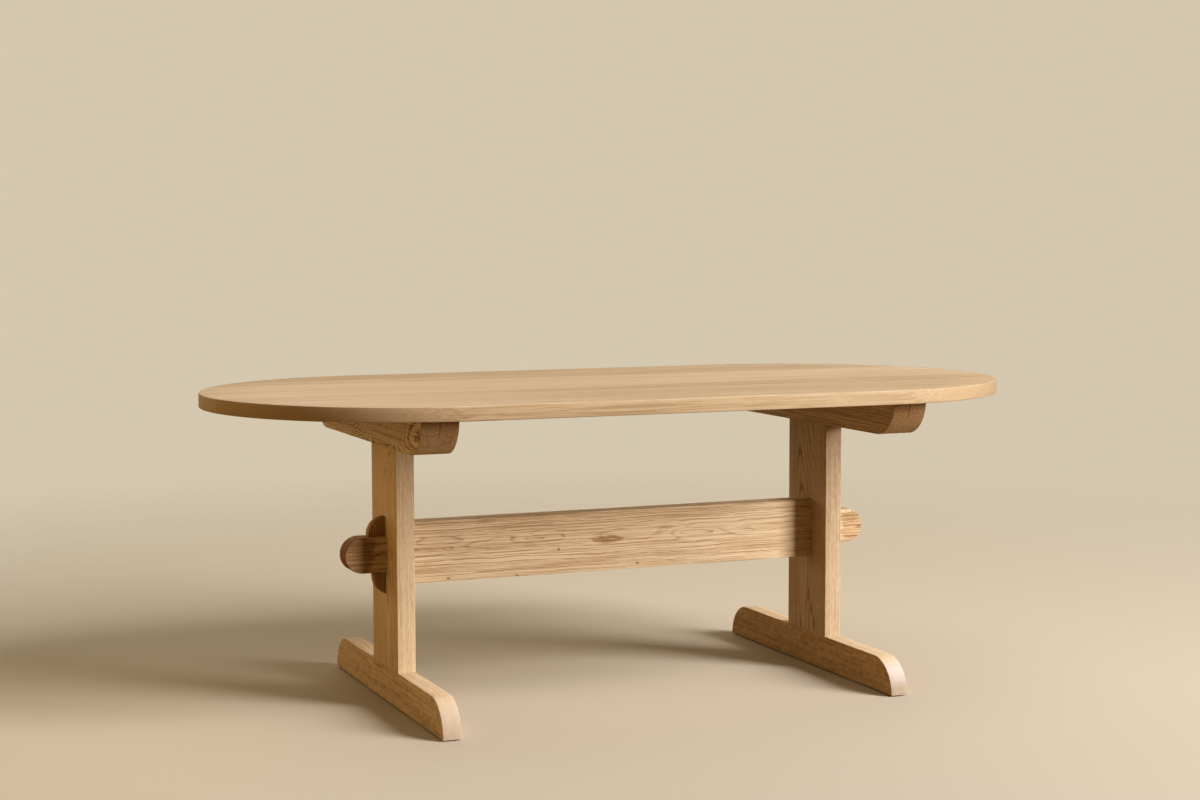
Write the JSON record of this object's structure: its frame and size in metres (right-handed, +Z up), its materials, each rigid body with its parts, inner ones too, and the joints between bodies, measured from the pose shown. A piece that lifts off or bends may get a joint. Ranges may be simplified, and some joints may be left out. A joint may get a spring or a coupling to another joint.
{
  "type": "trestle dining table",
  "caption": "Oak trestle dining table with a racetrack top, slab posts on long feet, and a stretcher whose through tenons are locked by lift-out wedge keys.",
  "frame": {"origin": "on the floor, under the middle of the table top", "axes": "+X along the table's length and the stretcher, +Y across the table, +Z up"},
  "size_m": [2.0718, 1.036, 0.762],
  "materials": {
    "top_oak": "matte clear-oiled pale oak, long grain along the table",
    "trestle_oak": "matte clear-oiled pale oak, grain along each board",
    "key_oak": "matte clear-oiled pale oak, grain upright",
    "bolt_steel": "zinc-plated, satin",
    "washer_steel": "zinc-plated, satin",
    "insert_brass": "turned, satin",
    "glide_plastic": "dark brown moulded plastic, matte"
  },
  "bodies": {
    "table": {"top_board_1": "top_oak", "top_board_2": "top_oak", "top_board_3": "top_oak", "top_board_4": "top_oak", "top_board_5": "top_oak", "top_board_6": "top_oak", "top_board_7": "top_oak", "stretcher": "trestle_oak", "left_foot": "trestle_oak", "left_post": "trestle_oak", "left_bearer_inner": "trestle_oak", "left_bearer_outer": "trestle_oak", "right_foot": "trestle_oak", "right_post": "trestle_oak", "right_bearer_inner": "trestle_oak", "right_bearer_outer": "trestle_oak", "left_top_bolts": "bolt_steel", "left_top_washers": "washer_steel", "left_top_inserts": "insert_brass", "left_glides": "glide_plastic", "right_top_bolts": "bolt_steel", "right_top_washers": "washer_steel", "right_top_inserts": "insert_brass", "right_glides": "glide_plastic"},
    "left_wedge": {"left_key": "key_oak"},
    "right_wedge": {"right_key": "key_oak"}
  },
  "joints": [
    {"name": "left_key_lift", "type": "slide", "parent": "table", "child": "left_wedge", "axis": [0, 0, 1], "range_m": [0, 0.15]},
    {"name": "right_key_lift", "type": "slide", "parent": "table", "child": "right_wedge", "axis": [0, 0, 1], "range_m": [0, 0.15]}
  ]
}
